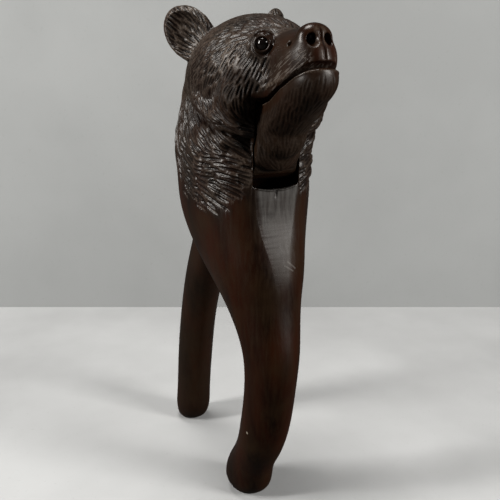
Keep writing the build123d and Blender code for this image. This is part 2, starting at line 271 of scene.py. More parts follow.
def relax(obj, points, weight, times):
    """Lets the surface slacken where weight is above 0."""
    edges = np.empty(len(obj.data.edges) * 2, np.int32)
    obj.data.edges.foreach_get("vertices", edges)
    edges = edges.reshape(-1, 2)
    a = np.concatenate([edges[:, 0], edges[:, 1]])
    b = np.concatenate([edges[:, 1], edges[:, 0]])
    count = np.maximum(np.bincount(a, minlength=len(points)), 1)
    for _ in range(times):
        mean = np.stack([np.bincount(a, points[b, k], len(points)) for k in range(3)], 1) / count[:, None]
        points = points + (mean - points) * (weight * 0.5)[:, None]
    return points


def tree_of(places):
    """A quick way to find the nearest of many places."""
    tree = KDTree(len(places))
    for i, place in enumerate(places):
        tree.insert(place, i)
    tree.balance()
    return tree


def distance(points, centre):
    return np.linalg.norm(points - np.array(centre), axis=1)


def ear_frame(side):
    turn = Matrix.Rotation(side * EAR_TURN, 3, "Z") @ Matrix.Rotation(side * EAR_LEAN, 3, "Y")
    return np.array(turn), np.array([side * EAR[0], EAR[1], EAR[2]])


def ear_place(points, side):
    """Places in an ear's own directions: across, out of the back of the ear, towards the tip."""
    turn, centre = ear_frame(side)
    return (points - centre) @ turn


def on_ear(points):
    found = np.zeros(len(points))
    for side in (-1, 1):
        own = ear_place(points, side)
        reach = np.sqrt((own[:, 0] / 10.4) ** 2 + (own[:, 1] / 6.0) ** 2 + (own[:, 2] / 13.5) ** 2)
        found = np.maximum(found, (1 - ramp(reach, 0.95, 1.1)) * ramp(own[:, 2], -9.5, -5.5))
    return found


def on_nose(points):
    away = (points - np.array(NOSE)) / np.array(NOSE_HALF)
    return 1 - ramp(np.linalg.norm(away, axis=1), 1.06, 1.25)


def in_slot(points):
    """1 on the walls, roof and floor of the slot and between the lips."""
    roof = np.interp(points[:, 1], ROOF_Y, ROOF_Z)
    inside = (np.abs(points[:, 0]) < SLOT_HALF + 0.35) & (points[:, 2] < roof + 0.35)
    return inside.astype(float)


def lip_near(points):
    """1 along the edge of the upper lip."""
    over = points[:, 2] - np.interp(points[:, 1], ROOF_Y, ROOF_Z)
    return (1 - ramp(np.abs(over), 1.0, 2.6)) * (1 - ramp(points[:, 1], -35, -29))


def line_near(points, line):
    """Distance of points from a line of straight stretches, on either side of the bear."""
    mirrored = np.stack([-np.abs(points[:, 0]), points[:, 1], points[:, 2]], 1)
    found = np.full(len(points), 1e9)
    for start, end in zip(line, line[1:]):
        start, along = np.array(start, float), np.array(end, float) - np.array(start, float)
        t = np.clip((mirrored - start) @ along / (along @ along), 0, 1)
        found = np.minimum(found, np.linalg.norm(mirrored - start - t[:, None] * along, axis=1))
    return found


def either_side(points, place):
    """Distance from a place on the bear's right or its mirror image."""
    mirrored = np.stack([-np.abs(points[:, 0]), points[:, 1], points[:, 2]], 1)
    return distance(mirrored, place)


def lie_of_fur(points, normals, combs):
    """Unit directions along the surface, between the combed lines."""
    places, ways = [], []
    for line in combs:
        for start, end in zip(line, line[1:]):
            start, end = np.array(start), np.array(end)
            for side in (1, -1):
                mirror = np.array([side, 1, 1])
                places.append((start + end) / 2 * mirror)
                ways.append((end - start) / np.linalg.norm(end - start) * mirror)
    places, ways = np.array(places), np.array(ways)
    lie = np.zeros_like(points)
    for i in range(0, len(points), POINTS_AT_ONCE):
        part = points[i:i + POINTS_AT_ONCE]
        gap = ((part[:, None, :] - places[None]) ** 2).sum(2)
        pull = 1 / (gap + 3.0) ** 2
        lie[i:i + POINTS_AT_ONCE] = pull @ ways
    for side in (-1, 1):
        turn, centre = ear_frame(side)
        own = ear_place(points, side)
        away = own - np.array([0, 0, -14.0])
        away[:, 1] = 0
        away = away / np.linalg.norm(away, axis=1)[:, None] @ turn.T
        share = on_ear(points) * (np.sign(points[:, 0]) == side)
        size = np.linalg.norm(lie, axis=1)[:, None]
        lie = lie * (1 - share)[:, None] + away * size * share[:, None]
    lie -= normals * (lie * normals).sum(1)[:, None]
    return lie / np.maximum(np.linalg.norm(lie, axis=1), 1e-9)[:, None]


class Gouge:
    """Cuts rows of short strokes that follow the lie of the fur."""

    def __init__(self, points, normals, lie):
        self.points, self.normals, self.lie = points, normals, lie
        self.tree = tree_of(points)

    def follow(self, start, way, length, step):
        """Points of a stroke from a place on the surface."""
        found = []
        place = np.array(self.points[start])
        for _ in range(int(length / step)):
            _, i, _ = self.tree.find(place)
            place = place - self.normals[i] * ((place - self.points[i]) @ self.normals[i])
            found.append((place, i))
            place = place + self.lie[i] * step * way
        return found

    def stroke(self, line, step=0.45):
        """Points of a stroke laid along a line, on the surface."""
        found = []
        for start, end in zip(line, line[1:]):
            start, along = Vector(start), Vector(end) - Vector(start)
            for k in range(int(along.length / step)):
                place, i, _ = self.tree.find(start + along * (k * step / along.length))
                found.append((np.array(place), i))
        return found

    def rows(self, where, pitch, length, seed, step=0.45, tries=60000):
        """Strokes side by side, pitch apart, where the share of fur is above a half."""
        rng = random.Random(seed)
        chosen = np.nonzero(where > 0.5)[0]
        if not len(chosen):
            return []
        cell = {}
        strokes = []
        for _ in range(tries):
            seed_point = int(chosen[rng.randrange(len(chosen))])
            own = pitch[seed_point]
            if self.crowded(cell, self.points[seed_point], own):
                continue
            reach = length[seed_point] * rng.uniform(0.65, 1.25)
            back = self.follow(seed_point, -1, reach * 0.5, step)
            ahead = self.follow(seed_point, 1, reach * 0.5, step)
            line = []
            for part in (back, ahead[1:]):
                kept = []
                for place, i in part:
                    if where[i] < 0.5 or self.crowded(cell, place, own * 0.72):
                        break
                    kept.append((place, i))
                line = list(reversed(kept)) if part is back else line + kept
            if len(line) * step < SHORTEST_STROKE:
                continue
            number = len(strokes)
            for place, _ in line:
                key = tuple(int(math.floor(c)) for c in place)
                cell.setdefault(key, []).append((place, number))
            strokes.append((line, own))
        return strokes

    @staticmethod
    def crowded(cell, place, gap):
        """Whether a stroke that is there already runs nearer to a place than the gap."""
        base = [int(math.floor(c)) for c in place]
        reach = 1 if gap <= 1.0 else 2
        for dx in range(-reach, reach + 1):
            for dy in range(-reach, reach + 1):
                for dz in range(-reach, reach + 1):
                    for other, _ in cell.get((base[0] + dx, base[1] + dy, base[2] + dz), ()):
                        d = other - place
                        if d[0] * d[0] + d[1] * d[1] + d[2] * d[2] < gap * gap:
                            return True
        return False

    def cut(self, strokes, share, wide=0.5):
        """Depth, 1 at the bottom of a stroke, and nearness to a stroke, for each point."""
        rng = random.Random(DEPTH_SEED)
        places, widths, deeps = [], [], []
        for line, pitch in strokes:
            strength = rng.uniform(0.7, 1.0)
            for k, (place, _) in enumerate(line):
                t = (k + 0.5) / len(line)
                taper = min(1.0, 4.0 * t, 3.0 * (1 - t)) ** 0.6
                places.append(place)
                widths.append(pitch * wide * (0.55 + 0.45 * taper))
                deeps.append(strength * taper)
        tree = tree_of(places)
        depth = np.zeros(len(self.points))
        near = np.zeros(len(self.points))
        for v in np.nonzero(share > 0.01)[0]:
            best, closest = 0.0, 9.0
            for _, i, gap in tree.find_n(self.points[v], 4):
                x = gap / widths[i]
                closest = min(closest, x)
                if x < 1:
                    best = max(best, deeps[i] * (1 - x * x))
            depth[v] = best
            near[v] = min(1.0, max(0.0, (2.2 - closest) / 0.8))
        return depth, near

    def tufts(self, strokes, share, wide):
        """Height of locks that rise towards their tips and end in a step, 0 to 1."""
        rng = random.Random(LOCK_SEED)
        places, widths, highs = [], [], []
        for line, pitch in strokes:
            strength = rng.uniform(0.65, 1.0)
            for k, (place, _) in enumerate(line):
                t = (k + 0.5) / len(line)
                rise = (0.3 + 0.7 * t) * min(1.0, 4.0 * (1 - t)) * min(1.0, 4.0 * t + 0.2)
                places.append(place)
                widths.append(pitch * wide * (1.0 - 0.55 * t * t))
                highs.append(strength * rise)
        tree = tree_of(places)
        height = np.zeros(len(self.points))
        for v in np.nonzero(share > 0.01)[0]:
            best = 0.0
            for _, i, gap in tree.find_n(self.points[v], 5):
                x = gap / widths[i]
                if x < 1:
                    best = max(best, highs[i] * (1 - x * x) ** 0.8)
            height[v] = best
        return height


def note(obj, name, values):
    """Keeps a value of each point of a piece for its material."""
    values = np.asarray(values, np.float32)
    kind = "FLOAT" if values.ndim == 1 else "FLOAT_VECTOR"
    layer = obj.data.attributes.new(name, kind, "POINT")
    layer.data.foreach_set("value" if kind == "FLOAT" else "vector", values.ravel())


def thin_out(obj, cut=None):
    """Brings a piece down to its number of triangles, and leaves the rim of a cut as it is."""
    use_modifier(obj, "TRIANGULATE")
    count = len(obj.data.polygons)
    if count > MOST_TRIANGLES:
        group = obj.vertex_groups.new(name="away_from_the_cut")
        free = np.ones(len(obj.data.vertices), bool)
        if cut is not None:
            free = np.abs(points_of(obj)[:, 2] - cut) > 0.5
        group.add(np.nonzero(free)[0].tolist(), 1.0, "REPLACE")
        use_modifier(obj, "DECIMATE", ratio=MOST_TRIANGLES / count, vertex_group=group.name)


def part_above(obj, height, name):
    """Cuts a piece in two at a height, both parts closed, and returns the upper one."""
    only(obj)
    bpy.ops.object.duplicate()
    upper = bpy.context.view_layer.objects.active
    upper.name = upper.data.name = name
    for part, above in ((obj, False), (upper, True)):
        only(part)
        bpy.ops.object.mode_set(mode="EDIT")
        bpy.ops.mesh.select_all(action="SELECT")
        bpy.ops.mesh.bisect(
            plane_co=(0, 0, height * MM), plane_no=(0, 0, 1), use_fill=True,
            clear_inner=above, clear_outer=not above,
        )
        bpy.ops.object.mode_set(mode="OBJECT")
    return upper


def flat_cut(obj, height):
    """Shades the cut faces flat, so that they leave the surface beside them alone."""
    for face in obj.data.polygons:
        if abs(face.normal.z) > 0.999 and abs(face.center.z - height * MM) < 0.02 * MM:
            face.use_smooth = False


def passes(count):
    """Passes of slackening that reach as far as this count does on clay of 0.3 mm."""
    return int(round(count * (0.3 / VOXEL) ** 2))


def eye_way(side):
    """The way an eye looks."""
    return (side * math.sin(EYE_TURN), -math.cos(EYE_TURN), 0)


def eye_middle(side):
    return (side * EYE[0], EYE[1], EYE[2])


def near_eyes(points):
    """Distance from the nearer eye."""
    return np.minimum(distance(points, eye_middle(1)), distance(points, eye_middle(-1)))


def rough_head():
    """The head with clay added for lids, brows, the covers of the plugs and cheeks, in one skin."""
    clay = clay_copy("head_and_front_handle", "carved_neck_and_front_handle")
    lumps = []
    for side in (-1, 1):
        out = Vector(eye_way(side))
        turn = out.to_track_quat("Z", "Y").to_euler()
        lids = Vector(eye_middle(side)) + out * 1.3
        lumps.append(ring(lids, LID_RADIUS, LID_THICKNESS, turn, (1.1, 1.0, 1.0)))
        lumps.append(lump((side * 9.4, -34.0, 193.7), (4.2, 3.4, 1.8)))
        lumps.append(lump((side * 20.4, PIN[1], PIN[2]), (3.6, PLUG_RADIUS + 3, PLUG_RADIUS + 3)))
        lumps.append(lump((side * 14.6, -21.0, 172.0), (7.0, 11.0, 9.5)))
    add_to(clay, lumps)
    use_modifier(clay, "REMESH", mode="VOXEL", voxel_size=VOXEL * MM, use_smooth_shade=True)
    return clay


def soften_head(clay, points):
    """Blends the head's forms, and keeps the ears, nose, lips, eyes and edges of the slot."""
    soft = ramp(points[:, 2], 118, 140) * (1 - 0.93 * on_ear(points)) * (1 - 0.9 * on_nose(points))
    soft *= ramp(near_eyes(points), 3.2, 6.0) * (1 - in_slot(points))
    soft *= 1 - 0.8 * lip_near(points)
    edge = np.abs(np.abs(points[:, 0]) - SLOT_HALF)
    front = (points[:, 2] < 171) & (points[:, 1] < -15)
    soft *= np.where(front, ramp(edge, 0.3, 2.0), 1)
    points = relax(clay, points, soft, passes(60) * 2)
    return relax(clay, points, np.full(len(points), 0.6), 4)


def nose_groove(points):
    """1 along the groove between the nostrils and down to the lip."""
    groove = np.exp(-(points[:, 0] / 0.4) ** 2) * ramp(points[:, 2], 184.5, 186)
    return groove * (1 - ramp(points[:, 2], 194, 196))


def cut_nose(points, groove):
    """Cuts the nostrils and the groove between them."""
    for side in (-1, 1):
        nostril = np.array([side * NOSTRIL[0], NOSTRIL[1], NOSTRIL[2]])
        reach = np.linalg.norm((points - nostril) / np.array(NOSTRIL_HALF), axis=1)
        points[:, 1] += NOSTRIL_DEPTH * (1 - ramp(reach, 0.45, 1.0)) * (points[:, 1] < -50)
    points[:, 1] += GROOVE_DEPTH * groove * (points[:, 1] < -51.5)
    return points


def front_share(points):
    """1 on the front of the head and neck, 0 from the ears back."""
    return 1 - ramp(points[:, 1], -6, 10)


def shape_cheek(points, normals, hollow):
    """Raises the cheek's edge over the hollow of the neck, and rolls the edge of the upper lip."""
    fading = front_share(points)
    puff = np.exp(-(line_near(points, CHEEK_EDGE) / 2.6) ** 2) * 0.9
    dip = hollow * 1.6 + np.exp(-(line_near(points, HOLLOW) / 0.9) ** 2) * 0.9 * fading
    puff = np.maximum(puff * fading, np.exp(-(line_near(points, LIP_EDGE) / 0.8) ** 2) * 0.3)
    return points + normals * ((puff - dip) * (1 - in_slot(points)))[:, None]


def crease_eyelids(points):
    for side in (-1, 1):
        out = np.array(eye_way(side))
        away = points - np.array(eye_middle(side))
        up = away @ out
        aside = np.linalg.norm(away - up[:, None] * out, axis=1)
        crease = np.exp(-((aside - CREASE_RADIUS) / 0.45) ** 2) * (np.abs(up) < 3.5)
        points = points - out * (CREASE_DEPTH * crease)[:, None]
    return points


def plane_front(points):
    """Planes the front of the handle under the slot."""
    front = points[(np.abs(points[:, 0]) < 1.5) & (points[:, 2] > 88) & (points[:, 2] < 139)]
    steps = np.arange(90, 139.0, 0.5)
    profile = [front[np.abs(front[:, 2] - z) < 0.8, 1].min() for z in steps]
    profile = np.convolve(np.pad(profile, 8, mode="edge"), np.ones(17) / 17, mode="valid")
    plane = np.interp(points[:, 2], steps, profile) + PLANED_DEPTH * ramp(points[:, 2], PLANED_FROM, 132)
    planed = (points[:, 2] > PLANED_FROM) & (points[:, 2] < PLANED_TO)
    planed &= (points[:, 1] < plane) & (points[:, 1] > plane - 2)
    points[:, 1] = np.where(planed, plane, points[:, 1])
    return points


def round_slot_lip(points):
    """Rounds the lip under the slot, lowest in the middle, where a small crack runs down."""
    on_lip = (points[:, 2] > SLOT_LIP_FROM) & (points[:, 2] < SLOT_LIP_TO)
    on_lip &= (np.abs(points[:, 0]) < SLOT_HALF + 0.2) & (points[:, 1] < -8)
    rise = 1.6 * np.abs(points[:, 0] / SLOT_HALF) ** 2.5 * ramp(-points[:, 1], 14, 22)
    points[:, 2] += np.where(on_lip, rise, 0)
    crack = np.exp(-((points[:, 0] - 0.1) / 0.4) ** 2) * ramp(points[:, 2], 135.8, 139.0)
    crack *= points[:, 2] < SLOT_LIP_TO
    points[:, 1] += 0.9 * crack * (points[:, 1] < -23)
    return points


def hem_height(points):
    """Height where the fur ends round the neck, ragged all round."""
    round_neck = np.arctan2(points[:, 0], points[:, 1])
    level = np.interp(points[:, 1], HEM_Y, HEM_Z)
    return level + 0.9 * np.sin(round_neck * 27) + 0.7 * np.sin(round_neck * 61 + 1)


def head_fur(points, hem, muzzle):
    """1 where the head and neck have fur."""
    fur = ramp(points[:, 2] - hem, 0, 1.0) * (1 - in_slot(points))
    fur *= 1 - on_nose(points)
    fur *= 1 - lip_near(points)
    fur *= ramp(near_eyes(points), 3.8, 4.9)
    under_slot = (np.abs(points[:, 0]) < SLOT_HALF + 0.6) & (points[:, 2] < 141.5)
    fur *= np.where(under_slot, 0, 1)
    return fur * (1 - muzzle)


def lone_strokes(gouge):
    """The single strokes on the handle, on both sides."""
    found = []
    for line in LONE_STROKES:
        for side in (1, -1):
            found.append((gouge.stroke([(side * x, y, z) for x, y, z in line]), LONE_PITCH))
    return found


def greatest(*shares):
    """The greatest of several shares at each point."""
    return np.maximum.reduce(shares)


def carve_head():
    clay = rough_head()
    points = soften_head(clay, points_of(clay))
    groove = nose_groove(points)
    points = cut_nose(points, groove)
    put_points(clay, points)
    normals = normals_of(clay)

    hollow = np.exp(-(line_near(points, HOLLOW) / 2.0) ** 2) * front_share(points)
    points = crease_eyelids(shape_cheek(points, normals, hollow))
    hole = 1 - ramp(either_side(points, SNOUT_HOLE), 0.5, 1.1)
    points = points - normals * (1.7 * hole)[:, None]
    points = round_slot_lip(plane_front(points))
    put_points(clay, points)
    normals = normals_of(clay)

    # Where there is fur, and how it lies
    hem = hem_height(points)
    muzzle = 1 - ramp(points[:, 1], -43, -37)
    fur = head_fur(points, hem, muzzle)
    whiskers = (1 - ramp(line_near(points, WHISKERS), 2.4, 3.8)) * (1 - on_nose(points)) * muzzle
    lie = lie_of_fur(points, normals, COMB_HEAD)
    neck = 1 - ramp(points[:, 2], 163, 172)
    above_hem = ramp(points[:, 2] - hem, 1, 8)

    # Locks round the neck that lie over each other
    everywhere = np.ones(len(points))
    gouge = Gouge(points, normals, lie)
    locks = gouge.rows(
        fur * neck, LOCK_PITCH * everywhere, LOCK_LENGTH * everywhere, SEED, step=0.9, tries=9000,
    )
    height = gouge.tufts(locks, fur * neck, 0.85)
    points = points + normals * ((LOCK_RISE * height - LOCK_SINK) * (fur * neck * above_hem))[:, None]
    put_points(clay, points)
    normals = normals_of(clay)

    # Fine strokes over them
    pitch = STROKE_PITCH + 0.22 * neck + 0.2 * neck * (1 - above_hem)
    length = STROKE_LENGTH + 6.5 * neck + 2.0 * on_ear(points)
    gouge = Gouge(points, normals, lie)
    strokes = gouge.rows(fur, pitch, length, HEAD_SEED) + lone_strokes(gouge)
    lone = 1 - ramp(np.min([line_near(points, line) for line in LONE_STROKES], axis=0), 1.0, 1.6)
    fur = np.maximum(fur, lone)
    depth, near = gouge.cut(strokes, fur, wide=0.58)
    deep = (STROKE_DEPTH + 0.12 * neck) * (1 + 0.1 * on_ear(points))
    points = points - normals * (deep * depth * fur)[:, None]
    put_points(clay, points)

    # Where the wood is pale from wear, dirty, dull or bright, and where highlights and shade are painted on
    # it
    pale_cut = lone * ramp(hem - points[:, 2], -1.0, 0.0)
    # Painted highlight down the front of the nose, beside its groove
    nose_front_highlight = np.exp(-(points[:, 0] / 2.7) ** 4) * (points[:, 1] < -51.5)
    nose_front_highlight *= ramp(points[:, 2], 183.5, 185.5)
    nose_front_highlight *= (1 - ramp(points[:, 2], 194.5, 196.5)) * (1 - groove)
    dull_cheek = 1 - ramp(either_side(points, DULL_CHEEK), 7.0, 12.5)
    # Painted highlight on the upper cheek below the eye
    cheek_highlight = 1 - ramp(either_side(points, CHEEK_HIGHLIGHT), 3.5, 8.0)
    # Painted highlight along the rolled edge of the upper lip
    lip_light = 1 - ramp(line_near(points, LIP_EDGE), 0.4, 0.9)
    # Ridges between the strokes, painted pale below: partly wear, partly a painted highlight where the
    # ridges catch the light
    crest = near * (1 - depth) * (1 - 0.5 * neck * (1 - height))
    crest = fur * (crest * (1 - pale_cut) + depth * pale_cut)
    note(clay, "fur", fur)
    note(clay, "crest", greatest(crest, 0.7 * lip_light, 0.6 * nose_front_highlight))
    note(clay, "whiskers", whiskers)
    # Painted shade and dirt at the bottoms of the strokes, painted shade in the hollow under the cheek and
    # in the snout hole
    note(clay, "groove", greatest(fur * depth * (1 - pale_cut), 0.6 * hollow, hole))
    note(clay, "polish", 0.7 * on_nose(points) * (1 - nose_front_highlight))
    note(clay, "dull", greatest(dull_cheek, 0.8 * hollow, 0.6 * whiskers))
    note(clay, "wear_and_highlight", greatest(cheek_highlight, pale_cut * fur, lip_light, 0.5 * on_ear(points)))
    upper = part_above(clay, NECK_CUT, "carved_bear_head")
    for part in (clay, upper):
        thin_out(part, NECK_CUT)
        flat_cut(part, NECK_CUT)
    return clay, upper


def carve_jaw():
    clay = clay_copy("jaw_and_rear_handle", "carved_jaw_and_rear_handle")
    use_modifier(clay, "REMESH", mode="VOXEL", voxel_size=VOXEL * MM, use_smooth_shade=True)
    points = points_of(clay)
    ahead = 1 - ramp(points[:, 1], -22, -16)
    rounding = ahead * (1 - ramp(points[:, 2], 170, 176)) * ramp(points[:, 2], 146, 150)
    points = relax(clay, points, 0.25 + 0.75 * rounding, passes(70))
    put_points(clay, points)
    normals = normals_of(clay)

    # Strokes of the throat and chin, which leave the lip and the sides in the slot smooth
    lip = np.interp(points[:, 1], ROOF_Y, ROOF_Z)
    fur = (1 - ramp(points[:, 1], -26, -22)) * ramp(lip - points[:, 2], 3.5, 6.0)
    in_the_slot = ramp(np.abs(points[:, 0]), LEVER_HALF - 0.35, LEVER_HALF - 0.1)
    fur *= 1 - in_the_slot * ramp(points[:, 1], -28.5, -27)
    everywhere = np.ones(len(points))
    gouge = Gouge(points, normals, lie_of_fur(points, normals, COMB_JAW))
    strokes = gouge.rows(fur, JAW_PITCH * everywhere, JAW_LENGTH * everywhere, JAW_SEED)
    depth, near = gouge.cut(strokes, fur)
    points = points - normals * (JAW_DEPTH * depth * fur)[:, None]

    # Raised edge of the lower lip, painted pale along it as a painted highlight
    lip_light = np.exp(-((normals[:, 2] - 0.42) / 0.17) ** 2) * (points[:, 1] < -26)
    lip_light *= 1 - ramp(lip - points[:, 2], 4.0, 5.5)
    points = points + normals * (0.3 * lip_light)[:, None]
    put_points(clay, points)
    note(clay, "fur", fur)
    note(clay, "crest", np.maximum(near * fur * (1 - depth), 0.8 * lip_light))
    # Painted shade and dirt at the bottoms of the strokes
    note(clay, "groove", 0.55 * fur * depth)
    note(clay, "whiskers", np.zeros(len(points)))
    note(clay, "polish", 0.3 * ahead * (1 - fur))
    note(clay, "dull", ahead * (0.35 + 0.4 * fur) * (1 - lip_light))
    note(clay, "wear_and_highlight", lip_light)
    thin_out(clay)
    return clay


# Materials

class Nodes:
    """Short ways to lay out a node material."""

    def __init__(self, name):
        self.material = bpy.data.materials.new(name)
        self.material.use_nodes = True
        self.tree = self.material.node_tree
        self.shader = self.tree.nodes["Principled BSDF"]

    def add(self, kind, **values):
        node = self.tree.nodes.new(kind)
        for key, value in values.items():
            setattr(node, key, value)
        return node

    def link(self, source, target):
        self.tree.links.new(source, target)

    def put(self, value, socket):
        if hasattr(value, "links"):
            self.link(value, socket)
        else:
            socket.default_value = value

    def attribute(self, name, output="Fac"):
        return self.add("ShaderNodeAttribute", attribute_name=name).outputs[output]

    def maths(self, how, a, b=0.0, clamp=False):
        node = self.add("ShaderNodeMath", operation=how, use_clamp=clamp)
        self.put(a, node.inputs[0])
        self.put(b, node.inputs[1])
        return node.outputs[0]

    def mix(self, share, a, b):
        """One colour laid over another."""
        node = self.add("ShaderNodeMix", data_type="RGBA")
        for value, socket in ((share, 0), (a, 6), (b, 7)):
            self.put(value, node.inputs[socket])
        return node.outputs[2]

    def vector(self, how, a, b):
        node = self.add("ShaderNodeVectorMath", operation=how)
        self.put(a, node.inputs[0])
        self.put(b, node.inputs[3] if how == "SCALE" else node.inputs[1])
        return node.outputs["Value"] if how in ("LENGTH", "DOT_PRODUCT") else node.outputs["Vector"]

    def mark(self, start, end, width):
        """1 along a straight mark on the surface, its places in millimetres."""
        start, end = Vector(start) * MM, Vector(end) * MM
        where = self.vector("SUBTRACT", self.add("ShaderNodeTexCoord").outputs["Object"], start)
        along = end - start
        if along.length > 0:
            share = self.vector("DOT_PRODUCT", where, along / along.length_squared)
            share = self.maths("ADD", share, 0, clamp=True)
            where = self.vector("SUBTRACT", where, self.vector("SCALE", along, share))
        away = self.vector("LENGTH", where, (0, 0, 0))
        return self.range(away, width * MM * 0.5, width * MM, 1, 0)

    def noise(self, where, scale, detail=4.0, roughness=0.55, distortion=0.0):
        node = self.add("ShaderNodeTexNoise")
        self.link(where, node.inputs["Vector"])
        node.inputs["Scale"].default_value = scale
        node.inputs["Detail"].default_value = detail
        node.inputs["Roughness"].default_value = roughness
        node.inputs["Distortion"].default_value = distortion
        return node.outputs["Fac"]

    def range(self, value, a, b, c=0.0, d=1.0):
        node = self.add("ShaderNodeMapRange", clamp=True)
        self.link(value, node.inputs["Value"])
        for socket, number in zip(("From Min", "From Max", "To Min", "To Max"), (a, b, c, d)):
            node.inputs[socket].default_value = number
        return node.outputs["Result"]

    def stretched(self, size):
        where = self.add("ShaderNodeTexCoord").outputs["Object"]
        mapping = self.add("ShaderNodeMapping")
        mapping.inputs["Scale"].default_value = size
        self.link(where, mapping.inputs["Vector"])
        return mapping.outputs["Vector"]


def place_parts(n):
    """X, Y and Z of the place on the piece, in metres."""
    split = n.add("ShaderNodeSeparateXYZ")
    n.link(n.add("ShaderNodeTexCoord").outputs["Object"], split.inputs[0])
    return split.outputs


def sheen_patch(n):
    """1 on the planed front under the slot, which narrows downwards: a painted grey sheen."""
    place = place_parts(n)
    height = n.range(place["Z"], 0.101, 0.1385)
    half = n.maths("MULTIPLY", n.maths("POWER", height, 0.6), 0.0086)
    aside = n.maths("ABSOLUTE", n.maths("SUBTRACT", place["X"], 0.0010))
    edge = n.range(n.maths("SUBTRACT", half, aside), -0.0002, 0.0012)
    front = n.range(place["Y"], -0.0215, -0.0235)
    under = n.maths("MULTIPLY", n.range(place["Z"], 0.1408, 0.1400), n.range(height, 0, 1.0))
    return n.maths("MULTIPLY", n.maths("MULTIPLY", edge, front), under)


def whisker_cuts(n):
    """Very fine strokes that run back and down along the side of the muzzle."""
    way = Vector((-0.21, 0.80, -0.56)).normalized()
    where = n.vector("ABSOLUTE", n.add("ShaderNodeTexCoord").outputs["Object"], (0, 0, 0))
    where = n.vector("MULTIPLY", where, (-1, -1, 1))
    along = n.vector("SCALE", way, n.maths("MULTIPLY", n.vector("DOT_PRODUCT", where, way), 0.86))
    return n.range(n.noise(n.vector("SUBTRACT", where, along), 1500, 2, 0.5), 0.52, 0.62)


DARK_WAX = (0.0060, 0.0022, 0.0008, 1)
RED_WAX = (0.025, 0.0056, 0.0013, 1)
OLIVE_WAX = (0.022, 0.0118, 0.0048, 1)
FUR_WAX = (0.0060, 0.0030, 0.0016, 1)
JAW_WAX = (0.015, 0.0085, 0.0042, 1)
PALE_WEAR_AND_HIGHLIGHT = (0.125, 0.098, 0.078, 1)
GROOVE_SHADE_AND_DIRT = (0.0026, 0.0015, 0.0011, 1)
WHISKER_CUT_HIGHLIGHT = (0.13, 0.11, 0.095, 1)
SHEEN_GREY_DARK = (0.032, 0.030, 0.028, 1)
SHEEN_GREY_PALE = (0.078, 0.076, 0.072, 1)
SCRATCHED = (0.14, 0.13, 0.12, 1)
FLECK = (0.3, 0.27, 0.22, 1)


def plain_wax(n):
    """Waxed wood before it is carved, before wear and before highlights and shade are painted on it, with
    the patterns that the next layers use.
    """
    whole_place = n.stretched((1.0, 1.0, 1.0))
    look = SimpleNamespace()
    look.grain = n.noise(n.stretched((1.0, 1.0, 0.12)), 900, 5, 0.6, 0.3)
    look.patches = n.noise(whole_place, 60, 3, 0.5)
    look.specks = n.noise(whole_place, 1400, 3, 0.6)
    streaks = n.noise(n.stretched((1.0, 1.0, 0.25)), 90, 3, 0.5)
    look.base = n.mix(n.range(streaks, 0.36, 0.66), DARK_WAX, RED_WAX)
    look.base = n.mix(n.range(look.patches, 0.45, 0.7, 0, 0.6), look.base, OLIVE_WAX)
    look.base = n.mix(n.range(look.grain, 0.42, 0.7, 0, 0.45), look.base, OLIVE_WAX)
    look.rough = n.range(look.grain, 0.3, 0.8, 0.27, 0.42)
    look.shine = 0.3
    look.height = n.maths("MULTIPLY", look.grain, 0.25)
    return look


def carved_wax(n, look):
    """Ridges of the carving painted pale, partly for wear and partly as painted highlights, painted shade
    and dirt in the strokes, and dull and bright places.
    """
    fur, groove, dull = n.attribute("fur"), n.attribute("groove"), n.attribute("dull")
    # Pale paint on the ridges of the strokes: partly wear of the wax, partly a painted highlight where the
    # ridges catch the light
    wear_and_highlight = n.maths("MULTIPLY", n.range(n.attribute("crest"), 0.3, 0.8), n.range(look.specks, 0.35, 0.62))
    wear_and_highlight = n.maths("MULTIPLY", wear_and_highlight, n.range(look.patches, 0.3, 0.6, 0.4, 1.0))
    wear_and_highlight = n.maths("MULTIPLY", wear_and_highlight, n.maths("ADD", 0.8, n.maths("MULTIPLY", n.attribute("wear_and_highlight"), 0.9)))
    wear_and_highlight = n.maths("MULTIPLY", wear_and_highlight, n.range(dull, 0, 1, 1, 0.25))
    look.base = n.mix(n.maths("MULTIPLY", fur, 0.45), look.base, FUR_WAX)
    look.base = n.mix(n.maths("MULTIPLY", wear_and_highlight, 0.75, clamp=True), look.base, PALE_WEAR_AND_HIGHLIGHT)
    # Painted shade and dirt in the strokes, painted shade in the hollow and the snout hole
    look.base = n.mix(n.maths("MULTIPLY", groove, 0.8), look.base, GROOVE_SHADE_AND_DIRT)
    look.rough = n.maths("ADD", look.rough, n.maths("MULTIPLY", fur, 0.03))
    look.rough = n.maths("SUBTRACT", look.rough, n.maths("MULTIPLY", n.attribute("polish"), 0.1))
    look.rough = n.maths("ADD", look.rough, n.maths("MULTIPLY", dull, 0.15))
    look.shine = n.range(dull, 0, 1, 0.34, 0.12)
    fur_specks = n.maths("MULTIPLY", look.specks, fur)
    look.height = n.maths("ADD", look.height, n.maths("MULTIPLY", fur_specks, 0.6))
    # Fine whisker cuts painted pale, a painted highlight along each cut, with a bump
    cuts = n.maths("MULTIPLY", whisker_cuts(n), n.attribute("whiskers"))
    look.base = n.mix(n.maths("MULTIPLY", cuts, 0.6), look.base, WHISKER_CUT_HIGHLIGHT)
    look.height = n.maths("ADD", look.height, n.maths("MULTIPLY", cuts, 1.2))


def jaw_wax(n, look):
    """The jaw's carving, a little browner than the head's."""
    carved_wax(n, look)
    look.base = n.mix(0.45, look.base, JAW_WAX)


